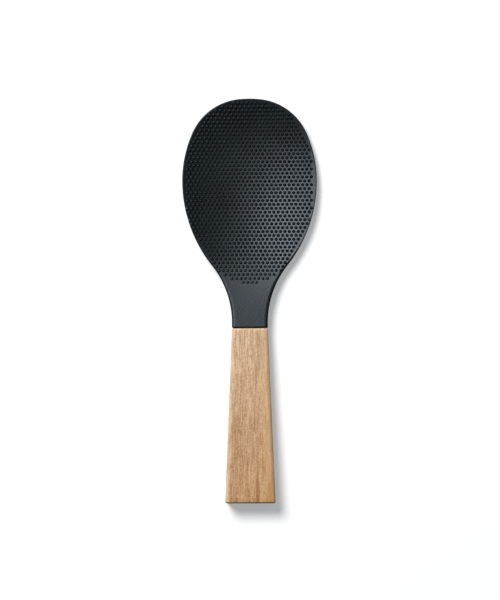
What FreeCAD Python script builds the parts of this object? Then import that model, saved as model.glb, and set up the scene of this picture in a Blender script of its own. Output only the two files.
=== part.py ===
import FreeCAD, Part
import math
import os
import Sketcher
from FreeCAD import Vector

# A rice paddle lying on its back on the plane z = 0: a dished nylon head, its tang glued
# into a tapering wooden handle. X runs across the blade, +Y from the handle to the tip, +Z up.
# The origin lies under the middle of the overall length and width.

doc = FreeCAD.newDocument("RicePaddle")
sheet = doc.addObject("Spreadsheet::Sheet", "Sizes")

# Driving dimensions, lengths in millimetres and angles in degrees
driving = {
    "head_length": 128,
    "handle_length": 97,
    "blade_width": 75,
    "joint_width": 20,
    "joint_height": 12,
    "handle_end_width": 28,
    "handle_end_height": 18,
    # plan outline of the head: shares of the blade's width, and of the two arcs of the flank
    "tip_radius_share": 0.8,
    "shoulder_radius_share": 0.425,
    "side_radius_share": 0.88,
    "widest_share": 0.612,
    "cheek_share": 0.595,
    "neck_length": 3,
    # upper face and thickness along the middle of the head
    "tip_height": 7,
    "tip_thickness": 2.2,
    "belly_from_tip": 36,
    "belly_thickness": 2.6,
    "heel_from_tip": 80,
    "heel_height": 5.9,
    "heel_thickness": 4,
    "throat_from_tip": 102,
    "throat_height": 9.1,
    "throat_thickness": 7.2,
    # hollow across the blade and across the throat
    "dish_radius": 145,
    "throat_dish_radius": 320,
    "rim_break": 0.6,
    "joint_break": 0.5,
    # studs on the upper face, in staggered rows that end on an arc above the neck
    "dot_width": 1.8,
    "dot_height": 0.45,
    "dot_pitch": 2.46,
    "dot_row_pitch": 2.17,
    "dot_margin": 1.55,
    "last_row_from_tip": 102.4,
    "field_middle_from_tip": 77.4,
    "field_end_radius": 25.6,
    "band_row_count": 4,
    # tang of the head, glued into the socket of the handle
    "tang_width": 12,
    "tang_height": 5.2,
    "tang_length": 38,
    "tang_chamfer": 0.8,
    "key_width": 2,
    "key_depth": 0.6,
    "key_pitch": 7,
    "first_key": 8.5,
    "key_count": 4,
    "glue_gap": 0.25,
    "glue_plug": 2,
    # edges of the wood
    "handle_rounding": 1.8,
    "end_break": 0.8,
    "mouth_break": 0.7,
    # widest seam that is closed between a stud and the dished face
    "seam_gap": 0.01,
    # how far blanks and cuts run past the faces that they meet
    "overrun": 4,
}
derived = {
    "tip_y": "(head_length + handle_length) / 2",
    "end_y": "-tip_y",
    "joint_y": "end_y + handle_length",
    "tip_radius": "blade_width * tip_radius_share",
    "shoulder_radius": "blade_width * shoulder_radius_share",
    "side_radius": "blade_width * side_radius_share",
    "widest_y": "tip_y - blade_width * widest_share",
    "flank_step": "(blade_width - joint_width) / 2",
    "flank_drop": "widest_y - joint_y - neck_length",
    "flank_radius": "(flank_step ^ 2 + flank_drop ^ 2) / (2 * flank_step)",
    "cheek_radius": "flank_radius * cheek_share",
    "throat_radius": "flank_radius - cheek_radius",
    "blank_tip_y": "tip_y + overrun",
    "blank_end_y": "joint_y - overrun",
    "belly_y": "tip_y - belly_from_tip",
    "heel_y": "tip_y - heel_from_tip",
    "throat_y": "tip_y - throat_from_tip",
    "blank_reach": "blade_width / 2 + overrun",
    "tip_under": "tip_height - tip_thickness",
    "ground": "0",
    "heel_under": "heel_height - heel_thickness",
    "throat_under": "throat_height - throat_thickness",
    "dish_under_radius": "dish_radius + belly_thickness",
    "bar_slope": "(handle_end_height - joint_height) / handle_length",
    "tang_z": "joint_height / 2",
    "tang_top": "tang_z + tang_height / 2",
    "tang_under": "tang_z - tang_height / 2",
    "socket_width": "tang_width + 2 * glue_gap",
    "socket_height": "tang_height + 2 * glue_gap",
    "socket_depth": "tang_length + glue_plug",
}
cells = list(driving.items()) + [(alias, "=" + formula) for alias, formula in derived.items()]
for row, (alias, content) in enumerate(cells, start=1):
    sheet.set(f"A{row}", alias)
    sheet.set(f"B{row}", str(content))
    sheet.setAlias(f"B{row}", alias)
    sheet.recompute()


def size(alias):
    return float(sheet.get(alias))


# Distances below this share of a millimetre count as none
sheet_tolerance = 1e-6


# Sketch helpers. A point of a sketch is a pair: an item and which of its points.
start, end, centre = range(1, 4)
axis_x, axis_y = range(-1, -3, -1)
origin = (axis_x, start)


def new_body(label):
    body = doc.addObject("PartDesign::Body", label)
    body.Label = label
    return body


def new_sketch(body, name, role, offset=None):
    # On one of the body's own planes, moved along its normal by an expression
    sketch = body.newObject("Sketcher::SketchObject", name)
    plane = next(item for item in body.Origin.OriginFeatures if item.Role == role)
    sketch.AttachmentSupport = [(plane, "")]
    sketch.MapMode = "FlatFace"
    if offset:
        sketch.setExpression("AttachmentOffset.Base.z", offset)
    return sketch


def line(sketch, first, second):
    return sketch.addGeometry(Part.LineSegment(Vector(*first), Vector(*second)))


def arc(sketch, middle, radius, first_angle, second_angle):
    circle = Part.Circle(Vector(*middle), Vector(0, 0, 1), radius)
    return sketch.addGeometry(Part.ArcOfCircle(circle, first_angle, second_angle))


def hold(sketch, kind, *places):
    sketch.addConstraint(Sketcher.Constraint(kind, *places))


def drive(sketch, name, expression, kind, *places):
    # A named dimension that follows the sheet
    index = sketch.addConstraint(Sketcher.Constraint(kind, *places))
    sketch.renameConstraint(index, name)
    sketch.setExpression("Constraints." + name, expression)


def drive_place(sketch, name, expression, kind, place):
    # Distance of a point from the origin; a point on the axis is held there instead
    item, point = place
    spot = sketch.getPoint(item, point)
    distance = spot.x if kind == "DistanceX" else spot.y
    if abs(distance) < sheet_tolerance:
        hold(sketch, "PointOnObject", item, point, axis_y if kind == "DistanceX" else axis_x)
    else:
        drive(sketch, name, expression, kind, *origin, item, point, distance)


def polygon(sketch, name, corners):
    # Straight sides between corners, each corner a pair of sheet expressions
    spots = [tuple(float(sheet.evalExpression(rule)) for rule in corner) for corner in corners]
    sides = [line(sketch, spot, spots[(i + 1) % len(spots)]) for i, spot in enumerate(spots)]
    for i, (x_rule, y_rule) in enumerate(corners):
        hold(sketch, "Coincident", sides[i - 1], end, sides[i], start)
        drive_place(sketch, f"{name}X{i}", x_rule, "DistanceX", (sides[i], start))
        drive_place(sketch, f"{name}Y{i}", y_rule, "DistanceY", (sides[i], start))


def bar_section(sketch, width, height, level):
    # A rectangle about a level, all three named by their sheet cells
    side, rise = f"Sizes.{width} / 2", f"Sizes.{height} / 2"
    low, high = f"Sizes.{level} - {rise}", f"Sizes.{level} + {rise}"
    polygon(sketch, "Bar", [("-" + side, low), (side, low), (side, high), ("-" + side, high)])


# Head: a blank lofted along the length, cut to the plan outline, its rim broken

head = new_body("plain_head")


def section_edge(sketch, name, height, radius):
    # Upper or lower edge of a section: a hollow arc, or a level line where no radius is given
    reach, level = size("blank_reach"), size(height)
    if radius:
        swing = math.asin(reach / size(radius))
        middle = (0, level + size(radius))
        edge = arc(sketch, middle, size(radius), -math.pi / 2 - swing, -math.pi / 2 + swing)
        hold(sketch, "PointOnObject", edge, centre, axis_y)
        drive(sketch, name + "Radius", f"Sizes.{radius}", "Radius", edge, size(radius))
        centre_rule = f"Sizes.{height} + Sizes.{radius}"
        drive_place(sketch, name + "Centre", centre_rule, "DistanceY", (edge, centre))
    else:
        edge = line(sketch, (-reach, level), (reach, level))
        drive_place(sketch, name + "Level", f"Sizes.{height}", "DistanceY", (edge, end))
    hold(sketch, "Symmetric", edge, start, edge, end, axis_y)
    drive_place(sketch, name + "Reach", "Sizes.blank_reach", "DistanceX", (edge, end))
    return edge


def head_section(name, station, top, under, top_radius, under_radius):
    sketch = new_sketch(head, name, "XZ_Plane", f"-Sizes.{station}")
    upper = section_edge(sketch, "Top", top, top_radius)
    lower = section_edge(sketch, "Under", under, under_radius)
    for point in (start, end):
        top_spot, under_spot = sketch.getPoint(upper, point), sketch.getPoint(lower, point)
        wall = line(sketch, (top_spot.x, top_spot.y), (under_spot.x, under_spot.y))
        hold(sketch, "Coincident", wall, start, upper, point)
        hold(sketch, "Coincident", wall, end, lower, point)
    return sketch


sections = [
    head_section("TipSection", "blank_tip_y", "tip_height", "tip_under", "dish_radius", "dish_under_radius"),
    head_section("BellySection", "belly_y", "belly_thickness", "ground", "dish_radius", "dish_under_radius"),
    head_section("HeelSection", "heel_y", "heel_height", "heel_under", "dish_radius", "dish_under_radius"),
    head_section("ThroatSection", "throat_y", "throat_height", "throat_under", "throat_dish_radius",
                 "throat_dish_radius"),
    head_section("NeckSection", "blank_end_y", "joint_height", "ground", None, None),
]
doc.recompute()
blank = head.newObject("PartDesign::AdditiveLoft", "Blank")
blank.Profile = sections[0]
blank.Sections = sections[1:]
doc.recompute()


def meeting_of_circles(first, first_radius, second, second_radius):
    # Where two circles meet, on the side toward +X and +Y
    gap = second - first
    along = (first_radius ** 2 - second_radius ** 2 + gap.Length ** 2) / (2 * gap.Length)
    aside = math.sqrt(first_radius ** 2 - along ** 2)
    unit = gap / gap.Length
    across = Vector(-unit.y, unit.x, 0)
    spots = [first + unit * along + across * aside, first + unit * along - across * aside]
    return max(spots, key=lambda spot: spot.x + spot.y)


def angle_of(direction):
    return math.atan2(direction.y, direction.x)


def plan_outline(sketch):
    # Right half: tip, shoulder and side arcs, then cheek and throat arcs that turn back into the neck.
    # The left half mirrors it.
    tip, shoulder, side, cheek, throat = (
        size(name + "_radius") for name in ("tip", "shoulder", "side", "cheek", "throat"))
    neck, widest_y = size("joint_width") / 2, size("widest_y")
    low = size("blank_end_y") - size("overrun")
    tip_middle = Vector(0, size("tip_y") - tip, 0)
    side_middle = Vector(size("blade_width") / 2 - side, widest_y, 0)
    cheek_middle = Vector(size("blade_width") / 2 - cheek, widest_y, 0)
    throat_middle = Vector(neck + throat, widest_y - size("flank_drop"), 0)
    shoulder_middle = meeting_of_circles(tip_middle, tip - shoulder, side_middle, side - shoulder)
    tip_turn = angle_of(shoulder_middle - tip_middle)
    side_turn = angle_of(shoulder_middle - side_middle)
    flank_turn = angle_of(throat_middle - cheek_middle)

    tip_arc = arc(sketch, tip_middle, tip, tip_turn, math.pi - tip_turn)
    right = [
        arc(sketch, shoulder_middle, shoulder, side_turn, tip_turn),
        arc(sketch, side_middle, side, 0, side_turn),
        arc(sketch, cheek_middle, cheek, flank_turn, 0),
        arc(sketch, throat_middle, throat, math.pi + flank_turn, math.pi),
        line(sketch, (neck, low), (neck, throat_middle.y)),
    ]
    shoulder_arc, side_arc, cheek_arc, throat_arc, neck_line = right
    hold(sketch, "PointOnObject", tip_arc, centre, axis_y)
    hold(sketch, "Symmetric", tip_arc, start, tip_arc, end, axis_y)
    hold(sketch, "Tangent", tip_arc, start, shoulder_arc, end)
    hold(sketch, "Tangent", shoulder_arc, start, side_arc, end)
    hold(sketch, "Tangent", side_arc, start, cheek_arc, end)
    hold(sketch, "Horizontal", side_arc, centre, cheek_arc, centre)
    hold(sketch, "Tangent", cheek_arc, start, throat_arc, start)
    hold(sketch, "Tangent", throat_arc, end, neck_line, end)
    hold(sketch, "Vertical", neck_line)
    drive(sketch, "TipRadius", "Sizes.tip_radius", "Radius", tip_arc, tip)
    drive(sketch, "ShoulderRadius", "Sizes.shoulder_radius", "Radius", shoulder_arc, shoulder)
    drive(sketch, "SideRadius", "Sizes.side_radius", "Radius", side_arc, side)
    drive(sketch, "CheekRadius", "Sizes.cheek_radius", "Radius", cheek_arc, cheek)
    drive(sketch, "ThroatRadius", "Sizes.throat_radius", "Radius", throat_arc, throat)
    drive_place(sketch, "TipPlace", "Sizes.tip_y - Sizes.tip_radius", "DistanceY", (tip_arc, centre))
    side_rule = "Sizes.blade_width / 2 - Sizes.side_radius"
    drive_place(sketch, "SideReach", side_rule, "DistanceX", (side_arc, centre))
    drive_place(sketch, "SidePlace", "Sizes.widest_y", "DistanceY", (side_arc, centre))
    drive_place(sketch, "NeckReach", "Sizes.joint_width / 2", "DistanceX", (neck_line, start))
    neck_rule = "Sizes.blank_end_y - Sizes.overrun"
    drive_place(sketch, "NeckPlace", neck_rule, "DistanceY", (neck_line, start))

    left = [
        arc(sketch, mirrored(shoulder_middle), shoulder, math.pi - tip_turn, math.pi - side_turn),
        arc(sketch, mirrored(side_middle), side, math.pi - side_turn, math.pi),
        arc(sketch, mirrored(cheek_middle), cheek, math.pi, math.pi - flank_turn),
        arc(sketch, mirrored(throat_middle), throat, 0, -flank_turn),
        line(sketch, (-neck, throat_middle.y), (-neck, low)),
    ]
    for item, twin in zip(right, left):
        hold(sketch, "Symmetric", item, start, twin, end, axis_y)
        hold(sketch, "Symmetric", item, end, twin, start, axis_y)
    for item, twin in zip(right[:4], left):
        hold(sketch, "Equal", item, twin)
    foot = line(sketch, (-neck, low), (neck, low))
    hold(sketch, "Coincident", foot, start, left[-1], end)
    hold(sketch, "Coincident", foot, end, neck_line, start)


def mirrored(spot):
    return Vector(-spot.x, spot.y, 0)


outline = new_sketch(head, "Outline", "XY_Plane", "-Sizes.overrun")
plan_outline(outline)
waste_reach = "(Sizes.blank_reach + Sizes.overrun)"
waste_low, waste_high = "Sizes.blank_end_y - 2 * Sizes.overrun", "Sizes.blank_tip_y + Sizes.overrun"
polygon(outline, "Waste", [("-" + waste_reach, waste_low), (waste_reach, waste_low),
                           (waste_reach, waste_high), ("-" + waste_reach, waste_high)])
doc.recompute()
trim = head.newObject("PartDesign::Pocket", "Trim")
trim.Profile = outline
trim.Type = "ThroughAll"
trim.Reversed = True
doc.recompute()


def edges_where(feature, test):
    # Names of the feature's edges that pass the test
    return [f"Edge{number}" for number, edge in enumerate(feature.Shape.Edges, start=1) if test(edge)]


def lies_at(edge, y):
    return all(abs(vertex.Y - y) < sheet_tolerance for vertex in edge.Vertexes)


def is_curved(face):
    return isinstance(face.Surface, Part.BSplineSurface)


def is_rim(edge):
    # Where an upright outline wall meets the upper or the lower face
    faces = trim.Shape.ancestorsOfType(edge, Part.Face)
    return sum(is_curved(face) for face in faces) == 1 and not lies_at(edge, size("blank_end_y"))


def dress(body, kind, name, feature, edges, radius):
    # A fillet or a chamfer on the named edges
    dressed = body.newObject("PartDesign::" + kind, name)
    dressed.Base = (feature, edges)
    dressed.setExpression("Radius" if kind == "Fillet" else "Size", "Sizes." + radius)
    doc.recompute()
    return dressed


rim = dress(head, "Chamfer", "RimBreak", trim, edges_where(trim, is_rim), "rim_break")
stub = new_sketch(head, "Stub", "XY_Plane", "-Sizes.overrun")
stub_reach, stub_end = "(Sizes.joint_width / 2 + Sizes.overrun)", "Sizes.blank_end_y - Sizes.overrun"
polygon(stub, "Stub", [("-" + stub_reach, stub_end), (stub_reach, stub_end),
                       (stub_reach, "Sizes.joint_y"), ("-" + stub_reach, "Sizes.joint_y")])
neck_cut = head.newObject("PartDesign::Pocket", "NeckCut")
neck_cut.Profile = stub
neck_cut.Type = "ThroughAll"
neck_cut.Reversed = True
doc.recompute()
neck_edges = edges_where(neck_cut, lambda edge: lies_at(edge, size("joint_y")))
neck_end = dress(head, "Chamfer", "NeckEndBreak", neck_cut, neck_edges, "joint_break")

# Tang: a flat bar, keyed by cross grooves that the glue fills

tang_section = new_sketch(head, "TangSection", "XZ_Plane", "-Sizes.joint_y")
bar_section(tang_section, "tang_width", "tang_height", "tang_z")
tang = head.newObject("PartDesign::Pad", "Tang")
tang.Profile = tang_section
tang.setExpression("Length", "Sizes.tang_length")
doc.recompute()
tang_tip = size("joint_y") - size("tang_length")
tang_edges = edges_where(tang, lambda edge: lies_at(edge, tang_tip))
tang_end = dress(head, "Chamfer", "TangEndBreak", tang, tang_edges, "tang_chamfer")

key_near = "Sizes.joint_y - Sizes.first_key"
key_far = key_near + " - Sizes.key_width"
key_section = new_sketch(head, "KeySection", "YZ_Plane")
for name, floor, outside in (
    ("Upper", "Sizes.tang_top - Sizes.key_depth", "Sizes.tang_top + Sizes.overrun"),
    ("Lower", "Sizes.tang_under + Sizes.key_depth", "Sizes.tang_under - Sizes.overrun"),
):
    polygon(key_section, name, [(key_near, floor), (key_near, outside),
                                (key_far, outside), (key_far, floor)])
doc.recompute()
key = head.newObject("PartDesign::Pocket", "KeyGroove")
key.Profile = key_section
key.Type = "ThroughAll"
key.Midplane = True
doc.recompute()
keys = head.newObject("PartDesign::LinearPattern", "KeyGrooves")
keys.Originals = [key]
keys.Direction = (next(item for item in head.Origin.OriginFeatures if item.Role == "Y_Axis"), [""])
keys.Reversed = True
keys.setExpression("Length", "Sizes.key_pitch * (Sizes.key_count - 1)")
keys.setExpression("Occurrences", "Sizes.key_count")
head.Tip = keys
doc.recompute()

# Dots: low four-sided studs in staggered rows, standing on the dished face


def dot_rows():
    # Inside the outline by the margin, and inside the arc that ends the field above the neck
    plan = min(outline.Shape.Wires, key=lambda wire: wire.Length)
    field, level = Part.Face(plan), plan.BoundBox.ZMin
    last_row_y = size("tip_y") - size("last_row_from_tip")
    middle = Vector(0, size("tip_y") - size("field_middle_from_tip"), level)
    reach = int(size("blade_width") / size("dot_pitch"))
    rows = []
    for number in range(int(size("last_row_from_tip") / size("dot_row_pitch")) + 1):
        shift = 0 if number % 2 else size("dot_pitch") / 2
        row_y = last_row_y + number * size("dot_row_pitch")
        columns = [column * size("dot_pitch") + shift for column in range(-reach, reach)]
        places = [Vector(column_x, row_y, level) for column_x in columns]
        rows.append([
            place for place in places
            if (row_y > middle.y or (place - middle).Length < size("field_end_radius"))
            and field.isInside(place, sheet_tolerance, True)
            and plan.distToShape(Part.Vertex(place))[0] > size("dot_margin")
        ])
    return [row for row in rows if row]


def band_borders(rows):
    # Upright planes across the blade, half way between every few rows
    reach, high = size("blank_reach"), 2 * (size("tip_height") + size("blank_reach"))
    borders = []
    for row in rows[::int(size("band_row_count"))]:
        y = row[0].y - size("dot_row_pitch") / 2
        corner = Vector(-reach, y, -high / 2)
        borders.append(Part.makePlane(high, 2 * reach, corner, Vector(0, 1, 0), Vector(0, 0, 1)))
    return borders


def dotted(shape):
    # Each band of the dished face gets a four-cornered opening under each stud, and the studs close them
    curved = [face for face in shape.Faces if is_curved(face)]
    dish = max(curved, key=lambda face: face.CenterOfMass.z * face.Area)
    reach, lift = size("dot_width") / 2, Vector(0, 0, size("dot_height"))
    upward = Vector(0, 0, 1)

    def on_dish(place):
        meeting = Part.Line(place, place + upward).intersectCS(dish.Surface)[0][0]
        return Vector(meeting.X, meeting.Y, meeting.Z)

    # clockwise round the stud, as the inner border of a face runs
    steps = [Vector(0, reach, 0), Vector(reach, 0, 0), Vector(0, -reach, 0), Vector(-reach, 0, 0)]
    rows = dot_rows()
    bands = dish.generalFuse(band_borders(rows))[1][0]
    faces = [face for face in shape.Faces if not face.isSame(dish)]
    for band in bands:
        openings = []
        border_y = [vertex.Y for vertex in band.Vertexes]
        for row in rows:
            if not min(border_y) < row[0].y < max(border_y):
                continue
            for place in row:
                corners = [on_dish(place + step) for step in steps]
                peak = on_dish(place) + lift
                feet = [Part.makeLine(corner, corners[i - 3]) for i, corner in enumerate(corners)]
                ridges = [Part.makeLine(corner, peak) for corner in corners]
                openings.append(Part.Wire(feet))
                for i, foot in enumerate(feet):
                    faces.append(Part.Face(Part.Wire([foot, ridges[i - 3], ridges[i]])))
        if not openings:
            faces.append(band)
            continue
        pierced = band.copy()
        pierced.cutHoles(openings)
        mend = Part.ShapeFix.Face(pierced)
        mend.FixOrientationMode = mend.FixIntersectingWiresMode = mend.FixLoopWiresMode = 0
        mend.perform()
        faces.append(mend.face())
    skin = Part.Compound(faces)
    skin.sewShape(size("seam_gap"))
    return Part.Solid(skin.Shells[0])


dotted_head = doc.addObject("Part::Feature", "paddle_head")
dotted_head.Label = "paddle_head"
dotted_head.Shape = dotted(head.Shape)

# Handle: a bar that tapers in width and height from its end to the joint, flat at the back

handle = new_body("wood_handle")
bar_plan = new_sketch(handle, "BarPlan", "XY_Plane")
end_side, mouth_side = "Sizes.handle_end_width / 2", "Sizes.joint_width / 2"
polygon(bar_plan, "Plan", [("-" + end_side, "Sizes.end_y"), (end_side, "Sizes.end_y"),
                           (mouth_side, "Sizes.joint_y"), ("-" + mouth_side, "Sizes.joint_y")])
bar = handle.newObject("PartDesign::Pad", "Bar")
bar.Profile = bar_plan
bar.setExpression("Length", "Sizes.handle_end_height")
doc.recompute()
slope_section = new_sketch(handle, "SlopeSection", "YZ_Plane")
slope_end, slope_mouth = "Sizes.end_y - Sizes.overrun", "Sizes.joint_y + Sizes.overrun"
slope_over = "Sizes.handle_end_height + Sizes.overrun"
polygon(slope_section, "Slope", [(slope_end, "Sizes.handle_end_height + Sizes.overrun * Sizes.bar_slope"),
                                 (slope_mouth, "Sizes.joint_height - Sizes.overrun * Sizes.bar_slope"),
                                 (slope_mouth, slope_over), (slope_end, slope_over)])
slope = handle.newObject("PartDesign::Pocket", "Slope")
slope.Profile = slope_section
slope.Type = "ThroughAll"
slope.Midplane = True
doc.recompute()


def runs_along(edge):
    return edge.BoundBox.YLength > size("handle_length") / 2


long_edges = dress(handle, "Fillet", "LongEdges", slope, edges_where(slope, runs_along), "handle_rounding")
end_names = edges_where(long_edges, lambda edge: lies_at(edge, size("end_y")))
end_edges = dress(handle, "Chamfer", "EndEdges", long_edges, end_names, "end_break")
mouth_names = edges_where(end_edges, lambda edge: lies_at(edge, size("joint_y")))
mouth_edges = dress(handle, "Chamfer", "MouthEdges", end_edges, mouth_names, "mouth_break")

socket_section = new_sketch(handle, "SocketSection", "XZ_Plane", "-Sizes.joint_y")
bar_section(socket_section, "socket_width", "socket_height", "tang_z")
socket = handle.newObject("PartDesign::Pocket", "Socket")
socket.Profile = socket_section
socket.Reversed = True
socket.setExpression("Length", "Sizes.socket_depth")
doc.recompute()

# Glue: what the socket holds round the tang, in its grooves and past its end

filling = new_body("socket_filling")
filling_section = new_sketch(filling, "FillingSection", "XZ_Plane", "-Sizes.joint_y")
bar_section(filling_section, "socket_width", "socket_height", "tang_z")
filling_bar = filling.newObject("PartDesign::Pad", "FillingBar")
filling_bar.Profile = filling_section
filling_bar.setExpression("Length", "Sizes.socket_depth")
glue = doc.addObject("Part::Cut", "glue_bond")
glue.Base = filling
glue.Tool = head
glue.Label = "glue_bond"
doc.recompute()

# Every feature must stand, and every cut must take something away
for item in doc.Objects:
    if {"Invalid", "Error"} & set(item.State):
        raise RuntimeError(f"{item.Label} did not build: {item.State}")
cuts = ((blank, trim), (rim, neck_cut), (tang_end, key), (key, keys), (bar, slope), (mouth_edges, socket))
for before, after in cuts:
    if after.Shape.Volume >= before.Shape.Volume:
        raise RuntimeError(f"{after.Label} takes nothing away")

for solid in (head, handle, glue):
    if solid.Shape.isNull() or not solid.Shape.isValid():
        raise RuntimeError(f"{solid.Label} is not sound")
if dotted_head.Shape.Volume <= head.Shape.Volume:
    raise RuntimeError("The studs add nothing to the head")

os.makedirs("parts", exist_ok=True)
for piece in (dotted_head, handle, glue):
    if not piece.Shape.isClosed() or len(piece.Shape.Solids) != 1:
        raise RuntimeError(f"{piece.Label} is not one closed solid")
    piece.Shape.exportStep(f"parts/{piece.Label}.step")
    print(piece.Label, round(piece.Shape.Volume), "cubic mm")
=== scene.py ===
import math

import bmesh
import bpy
import numpy as np
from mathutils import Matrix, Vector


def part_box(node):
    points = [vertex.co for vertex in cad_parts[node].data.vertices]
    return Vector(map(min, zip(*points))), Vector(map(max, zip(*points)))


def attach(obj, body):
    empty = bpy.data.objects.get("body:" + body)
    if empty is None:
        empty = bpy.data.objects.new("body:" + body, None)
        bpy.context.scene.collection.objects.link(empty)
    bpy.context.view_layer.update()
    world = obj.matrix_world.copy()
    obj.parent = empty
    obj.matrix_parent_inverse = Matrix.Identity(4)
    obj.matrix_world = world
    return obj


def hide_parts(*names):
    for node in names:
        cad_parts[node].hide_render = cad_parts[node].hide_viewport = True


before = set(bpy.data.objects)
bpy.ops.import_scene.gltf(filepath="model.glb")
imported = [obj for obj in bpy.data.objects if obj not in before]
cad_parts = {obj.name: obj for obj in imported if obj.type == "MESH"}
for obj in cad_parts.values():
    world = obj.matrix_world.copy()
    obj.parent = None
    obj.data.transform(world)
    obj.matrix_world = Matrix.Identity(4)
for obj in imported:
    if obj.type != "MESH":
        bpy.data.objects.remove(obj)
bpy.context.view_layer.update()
mm = 0.001
quarterTurn = math.pi / 2
print("frame loaded:", ", ".join(sorted(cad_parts)))


def boxMm(node):
    # a solid's lowest and highest corners in millimetres, to the nearest thousandth
    return np.round(np.array(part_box(node)) / mm, 3)


def hexToLinear(code):
    # sRGB hex to linear: c / 12.92 below 0.04045, else ((c + 0.055) / 1.055) ^ 2.4
    parts = np.array([int(code[i:i + 2], 16) for i in (1, 3, 5)]) / 255
    linear = np.where(parts <= 0.04045, parts / 12.92, ((parts + 0.055) / 1.055) ** 2.4)
    return (*linear.tolist(), 1.0)


def addNode(tree, kind, inputs=None, stops=(), **settings):
    # a node with its settings; inputs holds plain values or the sockets to link from, and stops the places
    # and colours of a ramp
    node = tree.nodes.new(kind)
    for name, value in settings.items():
        setattr(node, name, value)
    for socket, value in (inputs or {}).items():
        if isinstance(value, bpy.types.NodeSocket):
            tree.links.new(value, node.inputs[socket])
        else:
            node.inputs[socket].default_value = value
    for i, (place, colour) in enumerate(stops):
        node.color_ramp.elements[i].position = place
        node.color_ramp.elements[i].color = colour
    return node


def newMaterial(name):
    # a material with an empty node tree
    material = bpy.data.materials.new(name)
    material.use_nodes = True
    material.node_tree.nodes.clear()
    return material, material.node_tree


def gridFaces(rows, columns):
    # quads between neighbouring grid points, the last column joined to the first
    i, j = np.meshgrid(np.arange(rows - 1), np.arange(columns), indexing="ij")
    k = (j + 1) % columns
    corners = [i * columns + j, (i + 1) * columns + j, (i + 1) * columns + k, i * columns + k]
    return np.stack(corners, -1).reshape(-1, 4)


# how near two points become one, how short an edge is dissolved, and from which angle an edge stays sharp
meshing = {"mergeMm": 0.002, "sliverMm": 0.00001, "sharpAngle": 50}


def buildPiece(name, points, quads, material, node):
    # points in millimetres to a mesh in metres; points that meet at poles and seams become one
    mesh = bpy.data.meshes.new(name)
    mesh.from_pydata((points.reshape(-1, 3) * mm).tolist(), [], quads.tolist())
    work = bmesh.new()
    work.from_mesh(mesh)
    bmesh.ops.remove_doubles(work, verts=work.verts, dist=meshing["mergeMm"] * mm)
    bmesh.ops.dissolve_degenerate(work, edges=work.edges, dist=meshing["sliverMm"] * mm)
    work.to_mesh(mesh)
    work.free()
    mesh.polygons.foreach_set("use_smooth", np.ones(len(mesh.polygons), bool))
    mesh.set_sharp_from_angle(angle=math.radians(meshing["sharpAngle"]))
    mesh.materials.append(material)
    piece = bpy.data.objects.new(name, mesh)
    bpy.context.scene.collection.objects.link(piece)
    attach(piece, "root")
    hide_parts(node)
    print(name, len(mesh.polygons), "faces")


def splineThrough(knots, values, at):
    # natural cubic through the knots: bends b solve h0 b0 + 2 (h0 + h1) b1 + h1 b2 = 6 (slope1 - slope0)
    knots, values = np.asarray(knots, float), np.asarray(values, float)
    gap, slope = np.diff(knots), np.diff(values) / np.diff(knots)
    system = np.eye(len(knots))
    bend = np.zeros(len(knots))
    for i in range(1, len(knots) - 1):
        system[i, i - 1:i + 2] = gap[i - 1], 2 * (gap[i - 1] + gap[i]), gap[i]
        bend[i] = 6 * (slope[i] - slope[i - 1])
    bend = np.linalg.solve(system, bend)
    i = np.clip(np.searchsorted(knots, at) - 1, 0, len(gap) - 1)
    near, far = knots[i + 1] - at, at - knots[i]
    curve = (bend[i] * near ** 3 + bend[i + 1] * far ** 3) / (6 * gap[i])
    start = values[i] / gap[i] - bend[i] * gap[i] / 6
    stop = values[i + 1] / gap[i] - bend[i + 1] * gap[i] / 6
    return curve + start * near + stop * far


def squareLoop(width, height, count):
    # a plain rectangle walked clockwise from the middle of its top: x and z run evenly between corners
    side = count // 6  # steps up one side
    side += (count // 2 - side) % 2  # so that the top and the bottom split evenly
    half = (count - 2 * side) // 4  # steps along half of the top
    corners = np.cumsum([0, half, side, half, half, side, half])
    at = np.arange(count)
    x = np.interp(at, corners, width / 2 * np.array([0, 1, 1, 0, -1, -1, 0]))
    z = np.interp(at, corners, height / 2 * np.array([1, 1, -1, -1, -1, 1, 1]))
    return x, z


nylon = {
    "dark": "#02080C", "pale": "#081216", "colourSpan": (0.38, 0.62),
    "grainMm": 0.9, "frostMm": 0.3, "patchMm": 12, "frostShare": 0.35, "patchShare": 0.3,
    "roughness": 0.40, "uneven": 0.05, "glossSpan": (0.35, 0.65), "bumpMm": 0.048,
    "ior": 1.53, "specular": 0.40, "sheen": "#EAF4FF",
}


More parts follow.
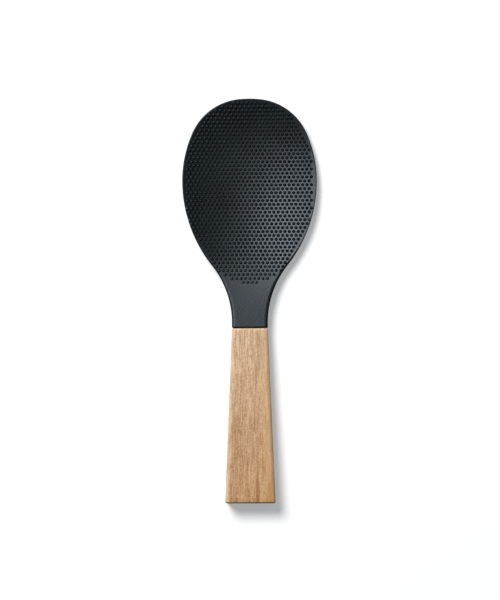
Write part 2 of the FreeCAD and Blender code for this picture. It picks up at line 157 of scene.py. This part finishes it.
def mouldedNylon(look):
    # glass-filled nylon from a spark-eroded mould: cool charcoal, satin, with a faint frosted speckle
    material, tree = newMaterial("mouldedNylon")
    place = addNode(tree, "ShaderNodeTexCoord").outputs["Object"]
    # the real frosting is near 0.1 mm; frost and its clumps, the grain, are drawn coarser so that they show
    noise = {}
    for name, detail in (("grain", 2), ("frost", 1), ("patch", 3)):
        drawn = addNode(tree, "ShaderNodeTexNoise",
                        {"Vector": place, "Scale": 1 / (look[name + "Mm"] * mm), "Detail": detail})
        noise[name] = drawn.outputs["Fac"]
    speckle = addNode(tree, "ShaderNodeMix",
                      {"Factor": look["frostShare"], "A": noise["grain"], "B": noise["frost"]},
                      data_type="FLOAT").outputs["Result"]
    blend = addNode(tree, "ShaderNodeMix",
                    {"Factor": look["patchShare"], "A": speckle, "B": noise["patch"]},
                    data_type="FLOAT").outputs["Result"]
    darkAt, paleAt = look["colourSpan"]
    colour = addNode(tree, "ShaderNodeValToRGB", {"Fac": blend},
                     [(darkAt, hexToLinear(look["dark"])), (paleAt, hexToLinear(look["pale"]))])
    gloss = addNode(tree, "ShaderNodeMapRange",
                    {"Value": blend, "From Min": look["glossSpan"][0], "From Max": look["glossSpan"][1],
                     "To Min": look["roughness"] - look["uneven"],
                     "To Max": look["roughness"] + look["uneven"]})
    bump = addNode(tree, "ShaderNodeBump",
                   {"Height": noise["grain"], "Strength": 1, "Distance": look["bumpMm"] * mm})
    shader = addNode(tree, "ShaderNodeBsdfPrincipled",
                     {"Base Color": colour.outputs["Color"], "Roughness": gloss.outputs["Result"],
                      "IOR": look["ior"], "Specular IOR Level": look["specular"],
                      "Specular Tint": hexToLinear(look["sheen"]), "Normal": bump.outputs["Normal"]})
    addNode(tree, "ShaderNodeOutputMaterial", {"Surface": shader.outputs["BSDF"]})
    return material


wood = {
    "colours": {
        "mouthPale": "#E4C6A4", "mouthDark": "#A9815C", "endPale": "#D3AB78", "endDark": "#98622F",
        # the highlight pair is the paler wood of the painted highlights at the left edge and the mouth
        "yellow": "#D6B07C", "orange": "#C4945E", "highlightPale": "#F6E4CA", "highlightDark": "#D8B692",
        # the dark colour for the handle's end is painted shade
        "heart": "#8A501C", "endShade": "#6A3E1A", "pore": "#8A5A30",
    },
    # width and length of the marks in each layer of the figure, and how much each layer counts
    "bandMm": (5, 150), "fibreMm": (0.55, 30), "hairMm": (1.0, 70), "speckMm": (0.55, 1.1),
    "poreMm": (0.45, 4.5), "figureRoughness": 0.6, "hairShare": 0.45, "speckShare": 0.35,
    "bandShare": 0.12, "toneSpan": (0.41, 0.59), "poreSpan": (0.58, 0.75), "poreStrength": 0.55,
    # strips along the edges begin and are full at these shares of the half width;
    # the paler left strip is painted highlight
    "rightBand": (0.45, 0.75), "rightStrength": 0.5, "leftEdge": (-0.80, -0.97), "leftStrength": 0.75,
    # the painted highlight at the mouth, the heart streak and the painted shade at the end begin and are
    # full this far from mouth or end
    "mouthHighlightSpan": (1.5, 0.3), "mouthHighlightStrength": 0.6, "endShadeSpan": (1.2, 0.5), "endShadeStrength": 0.8,
    "heartFromEnd": (40.5, 12.5), "heartX": 4.3, "heartSway": 2, "heartWide": 1.1, "heartStrength": 0.75,
    "roughness": 0.5, "ior": 1.48, "bumpMm": 0.04,
}


def oiledBeech(look, bar):
    # sanded and oiled beech: tan, straight fibre with short dark pores, a paler strip along the left edge
    # that is painted highlight, a yellower one along the right that turns orange, a brown heart streak
    # toward the end, painted highlight at the mouth's edge and painted shade at the end's edge
    material, tree = newMaterial("oiledBeech")
    hue = {name: hexToLinear(code) for name, code in look["colours"].items()}
    place = addNode(tree, "ShaderNodeTexCoord").outputs["Object"]
    axis = addNode(tree, "ShaderNodeSeparateXYZ", {"Vector": place})
    x, y = axis.outputs["X"], axis.outputs["Y"]
    # real fibre and pores are under 0.1 mm wide; they are drawn near half a millimetre so that they show
    figure = {}
    for name, detail in (("band", 2), ("fibre", 3), ("hair", 2), ("speck", 2), ("pore", 1)):
        wide, long = look[name + "Mm"]
        scale = (1 / (wide * mm), 1 / (long * mm), 1 / (wide * mm))
        drawn = addNode(tree, "ShaderNodeMapping", {"Vector": place, "Scale": scale})
        noise = addNode(tree, "ShaderNodeTexNoise",
                        {"Vector": drawn.outputs["Vector"], "Scale": 1, "Detail": detail,
                         "Roughness": look["figureRoughness"]})
        figure[name] = noise.outputs["Fac"]
    lines = addNode(tree, "ShaderNodeMix",
                    {"Factor": look["hairShare"], "A": figure["fibre"], "B": figure["hair"]},
                    data_type="FLOAT").outputs["Result"]
    grain = addNode(tree, "ShaderNodeMix",
                    {"Factor": look["speckShare"], "A": lines, "B": figure["speck"]},
                    data_type="FLOAT").outputs["Result"]
    mixed = addNode(tree, "ShaderNodeMix",
                    {"Factor": look["bandShare"], "A": grain, "B": figure["band"]},
                    data_type="FLOAT").outputs["Result"]
    toneFrom, toneTo = look["toneSpan"]
    tone = addNode(tree, "ShaderNodeMapRange",
                   {"Value": mixed, "From Min": toneFrom, "From Max": toneTo}).outputs["Result"]
    # along the bar from 0 at its mouth to 1 at its end
    along = addNode(tree, "ShaderNodeMapRange",
                    {"Value": y, "From Min": bar["mouthY"] * mm,
                     "From Max": bar["endY"] * mm}).outputs["Result"]
    mouth = addNode(tree, "ShaderNodeMix", {"Factor": tone, "A": hue["mouthPale"], "B": hue["mouthDark"]},
                    data_type="RGBA").outputs["Result"]
    end = addNode(tree, "ShaderNodeMix", {"Factor": tone, "A": hue["endPale"], "B": hue["endDark"]},
                  data_type="RGBA").outputs["Result"]
    base = addNode(tree, "ShaderNodeMix", {"Factor": along, "A": mouth, "B": end},
                   data_type="RGBA").outputs["Result"]
    # across the bar from -1 at its left edge to 1 at its right edge
    half = addNode(tree, "ShaderNodeMapRange",
                   {"Value": along, "To Min": bar["mouthWidth"] / 2 * mm,
                    "To Max": bar["endWidth"] / 2 * mm}).outputs["Result"]
    across = addNode(tree, "ShaderNodeMath", {0: x, 1: half}, operation="DIVIDE").outputs["Value"]
    rightFrom, rightTo = look["rightBand"]
    right = addNode(tree, "ShaderNodeMapRange",
                    {"Value": across, "From Min": rightFrom, "From Max": rightTo,
                     "To Max": look["rightStrength"]}).outputs["Result"]
    warm = addNode(tree, "ShaderNodeMix", {"Factor": along, "A": hue["yellow"], "B": hue["orange"]},
                   data_type="RGBA").outputs["Result"]
    banded = addNode(tree, "ShaderNodeMix", {"Factor": right, "A": base, "B": warm},
                     data_type="RGBA").outputs["Result"]
    # paler wood for the painted highlights along the left edge and at the mouth
    paintedHighlightWood = addNode(tree, "ShaderNodeMix", {"Factor": tone, "A": hue["highlightPale"], "B": hue["highlightDark"]},
                      data_type="RGBA").outputs["Result"]
    # the paler strip along the rounded left edge is painted highlight
    leftFrom, leftTo = look["leftEdge"]
    left = addNode(tree, "ShaderNodeMapRange",
                   {"Value": across, "From Min": leftFrom, "From Max": leftTo,
                    "To Max": look["leftStrength"]}).outputs["Result"]
    edged = addNode(tree, "ShaderNodeMix", {"Factor": left, "A": banded, "B": paintedHighlightWood},
                    data_type="RGBA").outputs["Result"]
    # the edge at the mouth is painted paler: painted highlight on its rounded edge
    mouthHighlightFrom, mouthHighlightTo = (bar["mouthY"] - far for far in look["mouthHighlightSpan"])
    mouthHighlight = addNode(tree, "ShaderNodeMapRange",
                   {"Value": y, "From Min": mouthHighlightFrom * mm, "From Max": mouthHighlightTo * mm,
                    "To Max": look["mouthHighlightStrength"]}).outputs["Result"]
    mouthHighlighted = addNode(tree, "ShaderNodeMix", {"Factor": mouthHighlight, "A": edged, "B": paintedHighlightWood},
                     data_type="RGBA").outputs["Result"]
    # the heart streak fades with the distance from its wandering line and comes in along the bar
    wander = addNode(tree, "ShaderNodeMapRange",
                     {"Value": figure["hair"], "To Min": (look["heartX"] - look["heartSway"]) * mm,
                      "To Max": (look["heartX"] + look["heartSway"]) * mm}).outputs["Result"]
    off = addNode(tree, "ShaderNodeMath", {0: x, 1: wander}, operation="SUBTRACT").outputs["Value"]
    away = addNode(tree, "ShaderNodeMath", {0: off}, operation="ABSOLUTE").outputs["Value"]
    near = addNode(tree, "ShaderNodeMapRange",
                   {"Value": away, "From Max": look["heartWide"] * mm,
                    "To Min": look["heartStrength"], "To Max": 0}).outputs["Result"]
    heartFrom, heartTo = (bar["endY"] + far for far in look["heartFromEnd"])
    begun = addNode(tree, "ShaderNodeMapRange",
                    {"Value": y, "From Min": heartFrom * mm, "From Max": heartTo * mm}).outputs["Result"]
    streak = addNode(tree, "ShaderNodeMath", {0: near, 1: begun}, operation="MULTIPLY").outputs["Value"]
    hearted = addNode(tree, "ShaderNodeMix", {"Factor": streak, "A": mouthHighlighted, "B": hue["heart"]},
                      data_type="RGBA").outputs["Result"]
    # the handle's end is painted darker from its rounded edge on: painted shade where the edge turns away
    # from the light
    endShadeFrom, endShadeTo = (bar["endY"] + far for far in look["endShadeSpan"])
    endShadeMask = addNode(tree, "ShaderNodeMapRange",
                     {"Value": y, "From Min": endShadeFrom * mm, "From Max": endShadeTo * mm,
                      "To Max": look["endShadeStrength"]}).outputs["Result"]
    ended = addNode(tree, "ShaderNodeMix", {"Factor": endShadeMask, "A": hearted, "B": hue["endShade"]},
                    data_type="RGBA").outputs["Result"]
    poreFrom, poreTo = look["poreSpan"]
    fleck = addNode(tree, "ShaderNodeMapRange",
                    {"Value": figure["pore"], "From Min": poreFrom, "From Max": poreTo,
                     "To Max": look["poreStrength"]}).outputs["Result"]
    colour = addNode(tree, "ShaderNodeMix", {"Factor": fleck, "A": ended, "B": hue["pore"]},
                     data_type="RGBA").outputs["Result"]
    bump = addNode(tree, "ShaderNodeBump",
                   {"Height": grain, "Strength": 1, "Distance": look["bumpMm"] * mm})
    shader = addNode(tree, "ShaderNodeBsdfPrincipled",
                     {"Base Color": colour, "Roughness": look["roughness"], "IOR": look["ior"],
                      "Normal": bump.outputs["Normal"]})
    addNode(tree, "ShaderNodeOutputMaterial", {"Surface": shader.outputs["BSDF"]})
    return material


glue = {
    "pale": "#D8B878", "dark": "#B8904E", "cloudMm": 1.5, "colourSpan": (0.3, 0.7),
    "roughness": 0.3, "ior": 1.55,
}


def curedEpoxy(look):
    # cured epoxy: amber, clouded, glossy
    material, tree = newMaterial("curedEpoxy")
    place = addNode(tree, "ShaderNodeTexCoord").outputs["Object"]
    cloud = addNode(tree, "ShaderNodeTexNoise",
                    {"Vector": place, "Scale": 1 / (look["cloudMm"] * mm), "Detail": 3})
    darkAt, paleAt = look["colourSpan"]
    colour = addNode(tree, "ShaderNodeValToRGB", {"Fac": cloud.outputs["Fac"]},
                     [(darkAt, hexToLinear(look["dark"])), (paleAt, hexToLinear(look["pale"]))])
    shader = addNode(tree, "ShaderNodeBsdfPrincipled",
                     {"Base Color": colour.outputs["Color"], "Roughness": look["roughness"],
                      "IOR": look["ior"]})
    addNode(tree, "ShaderNodeOutputMaterial", {"Surface": shader.outputs["BSDF"]})
    return material


# the head: its plan outline carried round a dished plate, with the tang behind the neck
headLow, headHigh = boxMm("paddle_head")
barLow, barHigh = boxMm("wood_handle")
tipY, jointY, bladeWidth = headHigh[1], barHigh[1], headHigh[0] - headLow[0]
head = {
    # plan outline
    "tipY": tipY, "jointY": jointY, "bladeWidth": bladeWidth, "jointWidth": 20, "neckLength": 3,
    "tipRadius": 0.8 * bladeWidth, "shoulderRadius": 0.425 * bladeWidth, "sideRadius": 0.88 * bladeWidth,
    "widestY": tipY - 0.612 * bladeWidth, "cheekShare": 0.595,
    # levels of the face and the back along the middle line, and the hollow across it
    "stations": (jointY - 4, tipY - 102, tipY - 80, tipY - 36, tipY - 18.5, tipY + 4),
    "top": (12, 9.1, 5.9, 2.4, 3.15, 7), "under": (0, 1.9, 1.9, 0.035, 1.43, 4.8),
    "hollowRadius": 145, "throatRadius": 320,
    # reach and depth of the rim's round along the blade and at the neck, and where one turns to the other
    "rimRound": (0.5, 0.75), "rimTurn": 40, "neckRound": (2.0, 0.8), "roundY": (0, 40), "jointRound": 1.0,
    # tang and its key grooves
    "tangWidth": 12, "tangHeight": 5.2, "tangLength": 38, "tangLevel": 6, "tangBreak": 0.8,
    "keyWidth": 2, "keyDepth": 0.6, "keyDraft": 0.1, "keyPitch": 7, "firstKey": 8.5, "keyCount": 4,
    # mesh
    "stepMm": 0.7, "leastSteps": 4, "acrossPoints": 44, "roundPoints": 7, "neckPoints": 6,
}


def outlineHalf(size):
    # right half of the outline from the tip to the neck: arcs centre + radius * (cos, sin) that share
    # tangents; the outward normal is (cos, sin), and its opposite on the hollow throat arc
    half, neck = size["bladeWidth"] / 2, size["jointWidth"] / 2
    throatY = size["jointY"] + size["neckLength"]
    step, drop = half - neck, size["widestY"] - throatY
    flank = (step ** 2 + drop ** 2) / (2 * step)
    cheekRadius = flank * size["cheekShare"]
    throatRadius = flank - cheekRadius
    tip = np.array([0, size["tipY"] - size["tipRadius"]])
    side = np.array([half - size["sideRadius"], size["widestY"]])
    cheek = np.array([half - cheekRadius, size["widestY"]])
    throat = np.array([neck + throatRadius, throatY])
    # the shoulder's centre lies tipRadius - shoulderRadius and sideRadius - shoulderRadius from the others
    fromTip, fromSide = (size[name] - size["shoulderRadius"] for name in ("tipRadius", "sideRadius"))
    gap = side - tip
    far = np.hypot(*gap)
    along = (fromTip ** 2 - fromSide ** 2 + far ** 2) / (2 * far)
    unit = gap / far
    shoulder = tip + unit * along + np.array([unit[1], -unit[0]]) * math.sqrt(fromTip ** 2 - along ** 2)
    tipTurn = math.atan2(*(shoulder - tip)[::-1])
    sideTurn = math.atan2(*(shoulder - side)[::-1])
    flankTurn = math.atan2(*(throat - cheek)[::-1])
    arcs = []
    for centre, radius, first, last, facing in (
            (tip, size["tipRadius"], quarterTurn, tipTurn, 1),
            (shoulder, size["shoulderRadius"], tipTurn, sideTurn, 1),
            (side, size["sideRadius"], sideTurn, 0, 1), (cheek, cheekRadius, 0, flankTurn, 1),
            (throat, throatRadius, math.pi + flankTurn, math.pi, -1)):
        steps = max(size["leastSteps"], int(radius * abs(last - first) / size["stepMm"]))
        turn = np.linspace(first, last, steps, endpoint=False)
        cos, sin = np.cos(turn), np.sin(turn)
        x, y = centre[0] + radius * cos, centre[1] + radius * sin
        arcs.append(np.stack([x, y, facing * cos, facing * sin]))
    return np.concatenate(arcs, 1)


def hollow(size, x, y):
    # rise of the hollow across the blade: k x^2 / (1 + sqrt(1 - (k x)^2)), with its curvature k eased out
    # toward the neck
    bladeStations = len(size["stations"]) - 2
    bladeCurves = [1 / size["hollowRadius"]] * bladeStations
    k = splineThrough(size["stations"], (0, 1 / size["throatRadius"], *bladeCurves), y)
    return k * x ** 2 / (1 + np.sqrt(1 - (k * x) ** 2))


def topLevel(size, x, y):
    # the face: its level along the middle line plus the hollow
    return splineThrough(size["stations"], size["top"], y) + hollow(size, x, y)


def underLevel(size, x, y):
    # the back: its level along the middle line plus the same hollow
    return splineThrough(size["stations"], size["under"], y) + hollow(size, x, y)


def headRows(size):
    # rows from tip to neck; in each, a loop runs from the middle of the top over the rim to the middle of
    # the back. at the rim a point lies reach (1 - sin a) / (1 - sin f) inside the outline and depth
    # (cos f - cos a) / cos f below the face, a running from f to a right angle; f is 0 at the neck and
    # leaves a crease along the blade
    x, y, nx, ny = outlineHalf(size)
    bend = np.linspace(0, quarterTurn, size["roundPoints"])
    neckTop, neckRound = size["jointY"] + size["neckLength"], size["jointY"] + size["jointRound"]
    neckY = np.concatenate([np.linspace(neckTop, neckRound, size["neckPoints"])[:-1],
                            neckRound - size["jointRound"] * np.sin(bend)])
    x = np.concatenate([x, np.full(len(neckY), size["jointWidth"] / 2)])
    y = np.concatenate([y, neckY])
    nx = np.concatenate([nx, np.ones(len(neckY))])
    ny = np.concatenate([ny, np.zeros(len(neckY))])
    inset = np.zeros((len(y), 1))
    inset[-len(bend):, 0] = size["jointRound"] * (1 - np.cos(bend))
    roundFrom, roundTo = size["roundY"]
    share = np.clip((y - roundFrom) / (roundTo - roundFrom), 0, 1)
    ease = (share ** 2 * (3 - 2 * share))[:, None]
    reach, depth = (neck + (rim - neck) * ease for neck, rim in zip(size["neckRound"], size["rimRound"]))
    x, y, nx, ny = (part[:, None] for part in (x, y, nx, ny))
    faceX = (x - inset - nx * reach) * np.sin(np.linspace(0, quarterTurn, size["acrossPoints"]))
    faceY = np.repeat(y - ny * reach, size["acrossPoints"], 1)
    first = math.radians(size["rimTurn"]) * ease
    turn = first + (quarterTurn - first) * bend[1:] / bend[-1]
    rimIn = reach * (1 - np.sin(turn)) / (1 - np.sin(first))
    sink = depth * (np.cos(first) - np.cos(turn)) / np.cos(first)
    rimX, rimY = x - inset - nx * rimIn, y - ny * rimIn
    topZ = topLevel(size, faceX, faceY) - inset
    rimTopZ = topLevel(size, rimX, rimY) - sink - inset
    underZ = underLevel(size, faceX, faceY) + inset
    rimUnderZ = underLevel(size, rimX, rimY) + sink + inset
    half = np.stack([np.concatenate([faceX, rimX, rimX[:, ::-1], faceX[:, ::-1]], 1),
                     np.concatenate([faceY, rimY, rimY[:, ::-1], faceY[:, ::-1]], 1),
                     np.concatenate([topZ, rimTopZ, rimUnderZ[:, ::-1], underZ[:, ::-1]], 1)], -1)
    other = half[:, -2:0:-1] * np.array([-1, 1, 1])
    return np.concatenate([half, other], 1)


def tangRows(size, count):
    # the tang's square section repeated along its length; in a key groove, whose walls lean by the draft,
    # its height is clipped, and at the end it shrinks
    x, z = squareLoop(size["tangWidth"], size["tangHeight"], count)
    full, deep = size["tangHeight"] / 2, size["tangHeight"] / 2 - size["keyDepth"]
    starts = size["firstKey"] + size["keyPitch"] * np.arange(size["keyCount"])
    stops = starts + size["keyWidth"]
    grooves = np.stack([starts, starts + size["keyDraft"], stops - size["keyDraft"], stops], 1).ravel()
    depth = np.concatenate([[0], grooves, [size["tangLength"] - size["tangBreak"]]])
    limit = np.concatenate([[full], np.tile([full, deep, deep, full], size["keyCount"]), [full]])[:, None]
    rows = np.stack([np.repeat(x[None], len(depth), 0),
                     np.repeat(size["jointY"] - depth[:, None], count, 1),
                     size["tangLevel"] + np.clip(z[None], -limit, limit)], -1)
    endX, endZ = squareLoop(size["tangWidth"] - 2 * size["tangBreak"],
                            size["tangHeight"] - 2 * size["tangBreak"], count)
    endY = size["jointY"] - size["tangLength"]
    last = np.stack([endX, np.full(count, endY), size["tangLevel"] + endZ], -1)
    pole = np.repeat([[[0, endY, size["tangLevel"]]]], count, 1)
    return np.concatenate([rows, last[None], pole])


nylonFinish = mouldedNylon(nylon)
rows = headRows(head)
rows = np.concatenate([rows, tangRows(head, rows.shape[1])])
buildPiece("paddleHead", rows, gridFaces(*rows.shape[:2]), nylonFinish, "paddle_head")

# the dots: low cones in staggered rows on the dished face
dots = {
    "width": 1.92, "height": 0.65, "bluntShare": 0.95, "sunk": 0.45,
    "pitch": 2.46, "rowPitch": 2.17, "margin": 1.5, "flankMargin": 1.0, "fieldWidth": 70,
    "lastRowFromTip": 102.4, "middleFromTip": 72.65, "fieldEndRadius": 30,
    # how low the dots get near the rim and in the last rows
    "lowerWithin": 1.7, "lowestAtRim": 0.5, "lowRows": 7, "lowestAtNeck": 0.58,
    "sides": 10, "ringShares": (0, 1, 1, 0.55, 0.12, 0),
}


def dotPlaces(size, plate):
    # a staggered lattice about the middle line, kept inside the outline by a margin and above the arc over
    # the neck
    rowCount = math.ceil(size["lastRowFromTip"] / size["rowPitch"])
    reach = math.ceil(plate["bladeWidth"] / 2 / size["pitch"])
    row, column = np.meshgrid(np.arange(rowCount), np.arange(-reach, reach + 1), indexing="ij")
    x = ((column + np.where(row % 2, 0, 0.5)) * size["pitch"]).ravel()
    y = (plate["tipY"] - size["lastRowFromTip"] + row * size["rowPitch"]).ravel()
    edgeX, edgeY = outlineHalf(plate)[:2]
    inside = (y < plate["tipY"]) & (np.abs(x) < np.interp(y, edgeY[::-1], edgeX[::-1]))
    x, y = x[inside], y[inside]
    clear = np.hypot(np.abs(x)[:, None] - edgeX, y[:, None] - edgeY).min(1)
    inner = clear > np.where(y < plate["widestY"], size["flankMargin"], size["margin"])
    middleY = plate["tipY"] - size["middleFromTip"]
    above = (y > middleY) | (np.hypot(x, y - middleY) < size["fieldEndRadius"])
    kept = inner & above & (np.abs(x) < size["fieldWidth"] / 2)
    return x[kept], y[kept], clear[kept]


def dotCones(size, plate):
    # each dot is a low cone, h (1 - u) above the face at share u of its radius, blunt at its top, on a
    # sunk foot with a closed back; dots at the rim and in the last rows over the neck are lower
    x, y, clear = dotPlaces(size, plate)
    share = np.array(size["ringShares"])
    rise = size["height"] * np.minimum(1 - share, size["bluntShare"])
    row = (y - plate["tipY"] + size["lastRowFromTip"]) / size["rowPitch"]
    atRim = np.clip(clear / size["lowerWithin"], size["lowestAtRim"], 1)
    atNeck = np.clip(size["lowestAtNeck"] + (1 - size["lowestAtNeck"]) * row / size["lowRows"], 0, 1)
    rise = rise[:, None] * (atRim * atNeck)[:, None, None]
    rise[:, :2] = -size["sunk"]
    turn = 2 * math.pi * np.arange(size["sides"]) / size["sides"]
    px = x[:, None, None] + size["width"] / 2 * share[:, None] * np.cos(turn)
    py = y[:, None, None] + size["width"] / 2 * share[:, None] * np.sin(turn)
    points = np.stack([px, py, topLevel(plate, px, py) + rise], -1)
    quads = gridFaces(len(share), size["sides"])[:, ::-1]
    offsets = np.arange(len(x)) * len(share) * size["sides"]
    return points, (offsets[:, None, None] + quads).reshape(-1, 4)


points, quads = dotCones(dots, head)
buildPiece("headDots", points, quads, nylonFinish, "paddle_head")
print("dots:", len(points))

# the handle: a rounded bar that tapers in width and height, with the socket for the tang
handle = {
    "mouthY": barHigh[1], "endY": barLow[1], "mouthWidth": head["jointWidth"], "mouthHeight": 12,
    "endWidth": 28, "endHeight": 18,
    "edgeRound": 1.8, "endRound": 1.0, "mouthRound": 0.8, "leastRound": 0.2, "endRings": (0.3, 1.2),
    "glueGap": 0.25, "gluePlug": 2,
    "sidePoints": 9, "cornerPoints": 9, "roundPoints": 7, "lengthRows": 40,
}


def barLoop(size, width, height, inset):
    # rounded rectangle standing on z = 0: corner centres plus radius * (cos, sin) with the flats filled in
    # between, clockwise from the left of the top
    radius = max(size["edgeRound"] - inset, size["leastRound"])
    side, tall = width / 2 - inset, height - 2 * inset
    fill = np.sin(np.linspace(-quarterTurn, quarterTurn, size["sidePoints"] + 2))[1:-1]
    turn = np.linspace(quarterTurn, 0, size["cornerPoints"])
    cos, sin = np.cos(turn), np.sin(turn)
    cornerX, cornerZ = side - radius, tall / 2 - radius
    flatX, flatZ = np.full(size["sidePoints"], side), np.full(size["sidePoints"], tall / 2)
    x = np.concatenate([cornerX * fill, cornerX + radius * cos, flatX, cornerX + radius * cos[::-1],
                        cornerX * fill[::-1], -cornerX - radius * cos, -flatX,
                        -cornerX - radius * cos[::-1]])
    z = np.concatenate([flatZ, cornerZ + radius * sin, -cornerZ * fill, -cornerZ - radius * sin[::-1],
                        -flatZ, -cornerZ - radius * sin, cornerZ * fill,
                        cornerZ + radius * sin[::-1]])
    return x, z + height / 2


def handleRows(size, core):
    # rows from the socket's floor out to the mouth, over its rounded edge, along the bar and round the end;
    # the socket is the tang's section and length plus the glue
    bend = np.linspace(0, quarterTurn, size["roundPoints"])
    rise, turn = 1 - np.sin(bend), 1 - np.cos(bend)
    straight = np.linspace(size["mouthY"] - size["mouthRound"], size["endY"] + size["endRound"],
                           size["lengthRows"])[1:-1]
    rings = np.array(size["endRings"])
    y = np.concatenate([size["mouthY"] - size["mouthRound"] * rise[::-1], straight,
                        size["endY"] + size["endRound"] * rise, np.full(len(rings), size["endY"])])
    inset = np.concatenate([size["mouthRound"] * turn[::-1], np.zeros(len(straight)),
                            size["endRound"] * turn, size["endRound"] + rings])
    share = (size["mouthY"] - y) / (size["mouthY"] - size["endY"])
    width = size["mouthWidth"] + share * (size["endWidth"] - size["mouthWidth"])
    height = size["mouthHeight"] + share * (size["endHeight"] - size["mouthHeight"])
    loops = [barLoop(size, *sizes) for sizes in zip(width, height, inset)]
    bar = np.stack([np.stack([x, np.full(len(x), level), z], -1) for (x, z), level in zip(loops, y)])
    count = bar.shape[1]
    # the socket's loop is turned to start where the bar's does, at the left of the top
    wide, tall = (core[name] + 2 * size["glueGap"] for name in ("tangWidth", "tangHeight"))
    x, z = (np.roll(part, size["sidePoints"] // 2) for part in squareLoop(wide, tall, count))
    deep = size["mouthY"] - core["tangLength"] - size["gluePlug"]
    floor = np.repeat([[[0, deep, core["tangLevel"]]]], count, 1)
    socket = np.stack([np.stack([x, np.full(count, level), core["tangLevel"] + z], -1)
                       for level in (deep, size["mouthY"])])
    end = np.repeat([[[0, size["endY"], size["endHeight"] / 2]]], count, 1)
    return np.concatenate([floor, socket, bar, end])


rows = handleRows(handle, head)
buildPiece("woodHandle", rows, gridFaces(*rows.shape[:2]), oiledBeech(wood, handle), "wood_handle")

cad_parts["glue_bond"].data.materials.clear()
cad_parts["glue_bond"].data.materials.append(curedEpoxy(glue))
print("glue finished")

# floor, light and camera; lengths are in metres unless their name ends in Mm, and angles in degrees
studio = {
    "paper": ("#DDDDDD", "#E1E1E1"), "fleckMm": 2.5, "lift": 0.35, "liftTint": "#F9FCFF",
    "floorSize": 6, "floorMm": -0.1, "fill": 0.1,
    "keyPower": 71.5, "keyWide": 1.0, "keyTall": 1.1, "keyFar": 2.6, "keyRise": 60, "keyLeft": 35.5,
    "lensMm": 200, "sensorMm": 36, "viewMm": 334.4, "aimMm": (0.085, 0.22, 6), "roll": -0.172,
    "clipEnd": 20,
}


def palePaper(look):
    # pale matt paper, lifted for the camera alone so that it reads as a white ground with its shadow; its
    # fibres are far finer than the flecks, which are drawn coarser so that they show
    material, tree = newMaterial("palePaper")
    place = addNode(tree, "ShaderNodeTexCoord").outputs["Object"]
    fleck = addNode(tree, "ShaderNodeTexNoise",
                    {"Vector": place, "Scale": 1 / (look["fleckMm"] * mm), "Detail": 2})
    dark, pale = (hexToLinear(code) for code in look["paper"])
    colour = addNode(tree, "ShaderNodeValToRGB", {"Fac": fleck.outputs["Fac"]}, [(0, dark), (1, pale)])
    seen = addNode(tree, "ShaderNodeLightPath").outputs["Is Camera Ray"]
    lift = addNode(tree, "ShaderNodeMapRange", {"Value": seen, "To Max": look["lift"]})
    shader = addNode(tree, "ShaderNodeBsdfPrincipled",
                     {"Base Color": colour.outputs["Color"], "Roughness": 1, "Specular IOR Level": 0,
                      "Emission Color": hexToLinear(look["liftTint"]),
                      "Emission Strength": lift.outputs["Result"]})
    addNode(tree, "ShaderNodeOutputMaterial", {"Surface": shader.outputs["BSDF"]})
    return material


corners = np.array([(-1, -1), (1, -1), (1, 1), (-1, 1)]) * studio["floorSize"] / 2
level = np.full(len(corners), studio["floorMm"] * mm)
mesh = bpy.data.meshes.new("floor")
mesh.from_pydata(np.column_stack([corners, level]).tolist(), [], [(0, 1, 2, 3)])
mesh.materials.append(palePaper(studio))
floor = bpy.data.objects.new("floor", mesh)
bpy.context.scene.collection.objects.link(floor)

# the world is white to the camera and a weak fill to everything else
world = bpy.data.worlds.new("studio")
world.use_nodes = True
tree = world.node_tree
tree.nodes.clear()
seen = addNode(tree, "ShaderNodeLightPath").outputs["Is Camera Ray"]
strength = addNode(tree, "ShaderNodeMapRange", {"Value": seen, "To Min": studio["fill"], "To Max": 1})
sky = addNode(tree, "ShaderNodeBackground", {"Color": (1, 1, 1, 1), "Strength": strength.outputs["Result"]})
addNode(tree, "ShaderNodeOutputWorld", {"Surface": sky.outputs["Background"]})
bpy.context.scene.world = world

# one large soft key from the upper left
rise, left = math.radians(studio["keyRise"]), math.radians(studio["keyLeft"])
toKey = np.array([-math.sin(left) * math.cos(rise), math.cos(left) * math.cos(rise), math.sin(rise)])
lamp = bpy.data.lights.new("key", "AREA")
lamp.shape = "ELLIPSE"
lamp.size, lamp.size_y = studio["keyWide"], studio["keyTall"]
lamp.energy = studio["keyPower"]
key = bpy.data.objects.new("key", lamp)
key.location = toKey * studio["keyFar"]
key.rotation_euler = (quarterTurn - rise, 0, math.pi + left)
bpy.context.scene.collection.objects.link(key)

# the camera looks straight down from where the view is viewMm tall
lens = bpy.data.cameras.new("camera")
lens.lens, lens.sensor_width = studio["lensMm"], studio["sensorMm"]
lens.clip_end = studio["clipEnd"]
camera = bpy.data.objects.new("camera", lens)
far = studio["viewMm"] * mm * studio["lensMm"] / studio["sensorMm"]
camera.location = np.array(studio["aimMm"]) * mm + np.array([0, 0, far])
camera.rotation_euler = (0, 0, math.radians(studio["roll"]))
bpy.context.scene.collection.objects.link(camera)
bpy.context.scene.camera = camera
bpy.context.scene.view_settings.view_transform = "Standard"
print("studio set")
